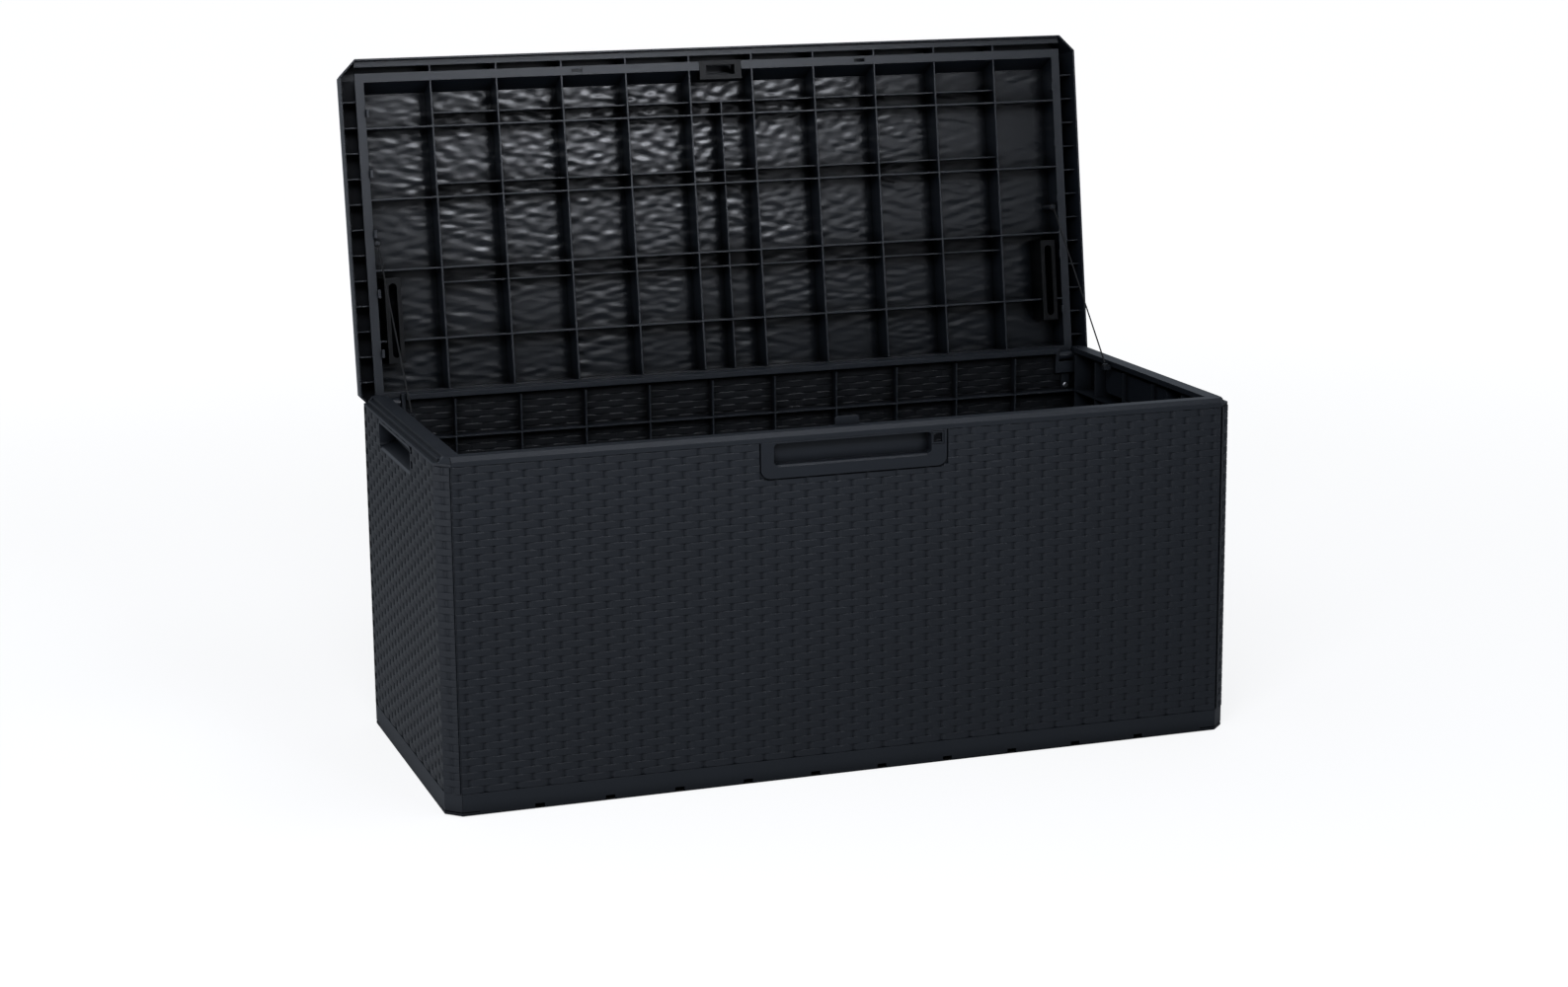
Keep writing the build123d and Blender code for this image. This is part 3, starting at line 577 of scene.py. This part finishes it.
# %% Cords and the loops round their pegs
CORD_RADIUS = 1.25
CORD_PLACE = 556.0  # along the box, from its middle
LID_PEG_HEIGHT, LID_PEG_DEPTH = 250.0, 12.0  # up the lid and into its underside
BOX_PEG_BACK, BOX_PEG_TOP = 98.0, 504.0  # behind the box's middle and above the floor
UPPER_GAP, LOWER_GAP = 2.7, 1.6
ROUTE_SHARES = (0.0, 0.06, 0.94, 1.0)
LOOP_RADIUS, LOOP_CORD_RADIUS, LOOP_DROP = 4.9, 0.9, 2.0
LOOP_POINTS = 24

for name, side in (("left", -1), ("right", 1)):
    upper_peg = on_lid(side * CORD_PLACE, LID_PEG_HEIGHT, -LID_PEG_DEPTH)
    lower_peg = np.array((side * CORD_PLACE, BOX_PEG_BACK, BOX_PEG_TOP))
    run = (lower_peg - upper_peg) / np.linalg.norm(lower_peg - upper_peg)
    upper_end, lower_end = upper_peg + UPPER_GAP * run, lower_peg - LOWER_GAP * run
    route = [lower_end + share * (upper_end - lower_end) for share in ROUTE_SHARES]
    line = spline_points(f"{name}_stay_line", np.array(route) * MM)
    cord, path = twisted_tube(f"{name}_stay", line, CORD_RADIUS * MM)
    length = float(np.linalg.norm(upper_end - lower_end)) * MM
    for end, peg, out, body in (
        ("upper", upper_peg, LID_OUT, "lid"),
        ("lower", lower_peg, np.array((0.0, 0.0, 1.0)), "box"),
    ):
        across = np.cross(out, LID_ALONG)
        turn_round = np.linspace(0, 2 * math.pi, LOOP_POINTS, endpoint=False)[:, None]
        centre = peg - LOOP_DROP * out
        ring = centre + LOOP_RADIUS * (np.cos(turn_round) * LID_ALONG + np.sin(turn_round) * across)
        loop, _ = twisted_tube(f"{name}_{end}_loop", ring * MM, LOOP_CORD_RADIUS * MM, closed=True, around=9)
        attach(loop, body)
    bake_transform(cord)
    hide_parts(f"{name}_stay_cord")
    print(name, "stay cord", round(length, 4), "m")

# %% [markdown]
# ## Lid underside
# The lid's skin shrinks as it cools, and it sinks a little between and behind its ribs. On the polished
# underside that gives ripples that break the light into streaks along the box, and stronger blotches in
# the upper middle, a little left of the centre. A bump map would shade them, but a mirror image needs
# real slopes, so the skin gets a sheet a few tenths of a millimetre above the CAD face. It is a sum of sine
# waves, longer across the lid than up it, and a fixed seed gives the same sheet on every run.

# %% Waves over the lid
FRAME_HALF, FRAME_REAR, FRAME_FRONT = 561.0, 26.0, 474.0
COLUMNS, ROWS = 481, 361
draw = np.random.default_rng(7)
across, height = np.meshgrid(
    np.linspace(-FRAME_HALF, FRAME_HALF, COLUMNS), np.linspace(FRAME_REAR, FRAME_FRONT, ROWS)
)


def waves(count, short_up, long_up, short_across, long_across, tilt):
    """A sum of sine waves over the lid, of wavelengths in mm up and across it and an even tilt each."""
    total = np.zeros(across.shape)
    for _ in range(count):
        wave_up = draw.uniform(short_up, long_up)
        wave_across = draw.uniform(short_across, long_across) * draw.choice((-1, 1))
        phase = draw.uniform(0, 2 * math.pi)
        total += wave_up * tilt * np.sin(2 * math.pi * (height / wave_up + across / wave_across) + phase)
    return total


# How strong the ripples are: uneven patches everywhere, and a stronger field in the upper middle.
CENTRE_X, CENTRE_WIDTH = -110, 380
CENTRE_FOOT, CENTRE_RISE = 120, 280
PATCH_LOW, PATCH_MEAN, CENTRE_STREAKS = 0.5, 0.75, 0.5
RIPPLE_LIMIT = 0.5
centre = np.exp(-(((across - CENTRE_X) / CENTRE_WIDTH) ** 2))
centre = centre * np.clip((height - CENTRE_FOOT) / CENTRE_RISE, 0, 1)
patches = np.clip(PATCH_MEAN + waves(12, 120, 400, 120, 400, 0.0008), PATCH_LOW, 1.0)
streaks = waves(60, 8, 24, 30, 120, 0.0012)
blotches = waves(40, 14, 40, 20, 60, 0.0016)
ripple = patches * streaks + centre * (CENTRE_STREAKS * streaks + blotches)
ripple = np.clip(ripple, -RIPPLE_LIMIT, RIPPLE_LIMIT)
print("ripples", round(float(ripple.min()), 2), "to", round(float(ripple.max()), 2), "mm")

# %% Rippled skin between the ribs
SKIN_STAND = -46.4
points = LID_ORIGIN + across[..., None] * LID_ALONG
points = points + height[..., None] * LID_UP + (SKIN_STAND + ripple)[..., None] * LID_OUT
cells = np.ones((ROWS - 1, COLUMNS - 1), bool)
skin = grid_piece("lid_skin_ripple", points * MM, cells, shaded_skin_plastic, "lid")

# %% [markdown]
# ## Room
# A white room, as for a catalogue picture. The world is bright behind the box and dim in front, as in a
# studio with one white wall, so that dark plastic keeps its depth. The camera itself sees plain white.
# Glossy rays see the dim room and not that white: the box has hardly any bare metal, and its dark plastic
# would turn grey under it.

# %% World
ROOM_TINT = linear("#e2ecfa")
FRONT_GLOW, BACK_GLOW = 0.10, 0.55
world = bpy.data.worlds.new("studio")
bpy.context.scene.world = world
world.use_nodes = True
tree = world.node_tree
tree.nodes.clear()
ray = add_node(tree, "ShaderNodeLightPath")
place = add_node(tree, "ShaderNodeTexCoord")
parts = add_node(tree, "ShaderNodeSeparateXYZ", {"Vector": (place, "Generated")})
behind = add_node(
    tree, "ShaderNodeMapRange", {"Value": (parts, "Y")},
    {"From Min": -0.3, "From Max": 0.9, "To Min": FRONT_GLOW, "To Max": BACK_GLOW},
)
room = add_node(tree, "ShaderNodeBackground", {"Strength": (behind, "Result")}, {"Color": ROOM_TINT})
paper = add_node(tree, "ShaderNodeBackground", {}, {"Color": (1, 1, 1, 1), "Strength": 1.0})
seen = add_node(
    tree, "ShaderNodeMixShader",
    {"Fac": (ray, "Is Camera Ray"), 1: (room, "Background"), 2: (paper, "Background")},
)
add_node(tree, "ShaderNodeOutputWorld", {"Surface": (seen, "Shader")})
print("world", world.name)

# %% [markdown]
# ## Floor
# The floor is pale and matt, and keeps the box's shadow. It also glows for the camera, more so further
# out, so that it meets the white room without a seam; for other rays it glows only a little, so that it
# doesn't light the box from below. Under the box a dark sheet stands for the floor that no light reaches,
# and the drain notches show it.

# %% Floor
def flat_piece(name, half_x, half_y, cut, height, material):
    """A level rectangle of the stage with its corners cut off, in metres."""
    mesh = bpy.data.meshes.new(name)
    quarter = [(half_x, half_y - cut), (half_x - cut, half_y)]
    outline = quarter + [(-x, y) for x, y in quarter[::-1]]
    outline += [(-x, -y) for x, y in outline]
    mesh.from_pydata([(x, y, 0) for x, y in outline], [], [tuple(range(8))])
    mesh.materials.append(material)
    piece = bpy.data.objects.new(name, mesh)
    bpy.context.scene.collection.objects.link(piece)
    piece.location.z = height
    print(name, 2 * half_x, "x", 2 * half_y, "m")


FLOOR_GREY, SHADED_GREY = (0.36, 0.36, 0.36, 1), (0.02, 0.02, 0.02, 1)
NEAR_GLOW, FAR_GLOW, OTHER_GLOW = 0.80, 0.93, 0.14
NEAR_REACH, FAR_REACH = 0.8, 4.0
pale_floor, tree = empty_material("pale_studio_floor")
ray = add_node(tree, "ShaderNodeLightPath")
place = add_node(tree, "ShaderNodeTexCoord")
away = add_node(tree, "ShaderNodeVectorMath", {0: (place, "Object")}, operation="LENGTH")
reach = add_node(
    tree, "ShaderNodeMapRange", {"Value": (away, "Value")},
    {"From Min": NEAR_REACH, "From Max": FAR_REACH, "To Min": NEAR_GLOW, "To Max": FAR_GLOW},
)
strength = add_node(
    tree, "ShaderNodeMix", {"Factor": (ray, "Is Camera Ray"), "B": (reach, "Result")}, {"A": OTHER_GLOW}
)
tone = add_node(tree, "ShaderNodeMix", {"Factor": (ray, "Is Camera Ray")}, data_type="RGBA")
tone.inputs["A"].default_value = ROOM_TINT
tone.inputs["B"].default_value = (1.0, 1.0, 1.0, 1.0)
matt = add_node(tree, "ShaderNodeBsdfDiffuse", {}, {"Color": FLOOR_GREY})
glow = add_node(tree, "ShaderNodeEmission", {"Strength": (strength, "Result"), "Color": (tone, "Result")})
both = add_node(tree, "ShaderNodeAddShader", {0: (matt, "BSDF"), 1: (glow, "Emission")})
add_node(tree, "ShaderNodeOutputMaterial", {"Surface": (both, "Shader")})
flat_piece("floor", 30, 30, 10, -0.001, pale_floor)

shaded_floor, tree = empty_material("shaded_studio_floor")
matt = add_node(tree, "ShaderNodeBsdfPrincipled", {}, {"Base Color": SHADED_GREY, "Roughness": 1.0})
add_node(tree, "ShaderNodeOutputMaterial", {"Surface": (matt, "BSDF")})
flat_piece("shaded_floor", 0.597, 0.2535, 0.024, -0.0005, shaded_floor)

# %% [markdown]
# ## Lights
# A big soft box high at the front left is the main light, one above lights the rims, and one at the left
# fills the end. Seen from the front left, the rippled lid mirrors what stands at the front right, so three
# dim strips stand there: a high one that only steep ripples catch, as bright streaks, and two lower ones
# that give the rest of the skin its soft sheen. Their narrow beams keep most of their light on the lid.

# %% Lights
LAMP_TINT = linear("#f2f6ff")[:3]
NARROW_BEAM = 40


def soft_box(name, place, aim, size, watts, spread=180):
    """A rectangular light at a place, turned to a point: its size in metres and its beam in degrees."""
    light = bpy.data.lights.new(name, "AREA")
    light.shape = "RECTANGLE"
    light.size, light.size_y = size
    light.energy = watts
    light.color = LAMP_TINT
    light.spread = math.radians(spread)
    lamp = bpy.data.objects.new(name, light)
    bpy.context.scene.collection.objects.link(lamp)
    lamp.location = place
    lamp.rotation_euler = (Vector(aim) - Vector(place)).to_track_quat("-Z", "Y").to_euler()
    print(name, watts, "W")


soft_box("key", (-1.3, -2.6, 2.5), (-0.2, 0.0, 0.4), (1.7, 1.1), 52)
soft_box("top", (0.5, -0.6, 2.8), (0.1, -0.25, 0.5), (1.4, 0.9), 11)
soft_box("streaks", (0.8, -2.75, 2.15), (-0.1, 0.33, 0.88), (1.2, 0.4), 1.8, NARROW_BEAM)
soft_box("lid_fill", (0.8, -2.75, 1.58), (-0.1, 0.33, 0.88), (0.9, 0.35), 0.14, NARROW_BEAM)
soft_box("lid_low", (0.95, -2.75, 1.22), (-0.15, 0.33, 0.85), (1.8, 0.14), 0.08, NARROW_BEAM)
soft_box("left_fill", (-2.7, -0.9, 0.45), (-0.6, -0.1, 0.3), (1.2, 0.6), 10)
bpy.context.scene.view_settings.view_transform = "Standard"
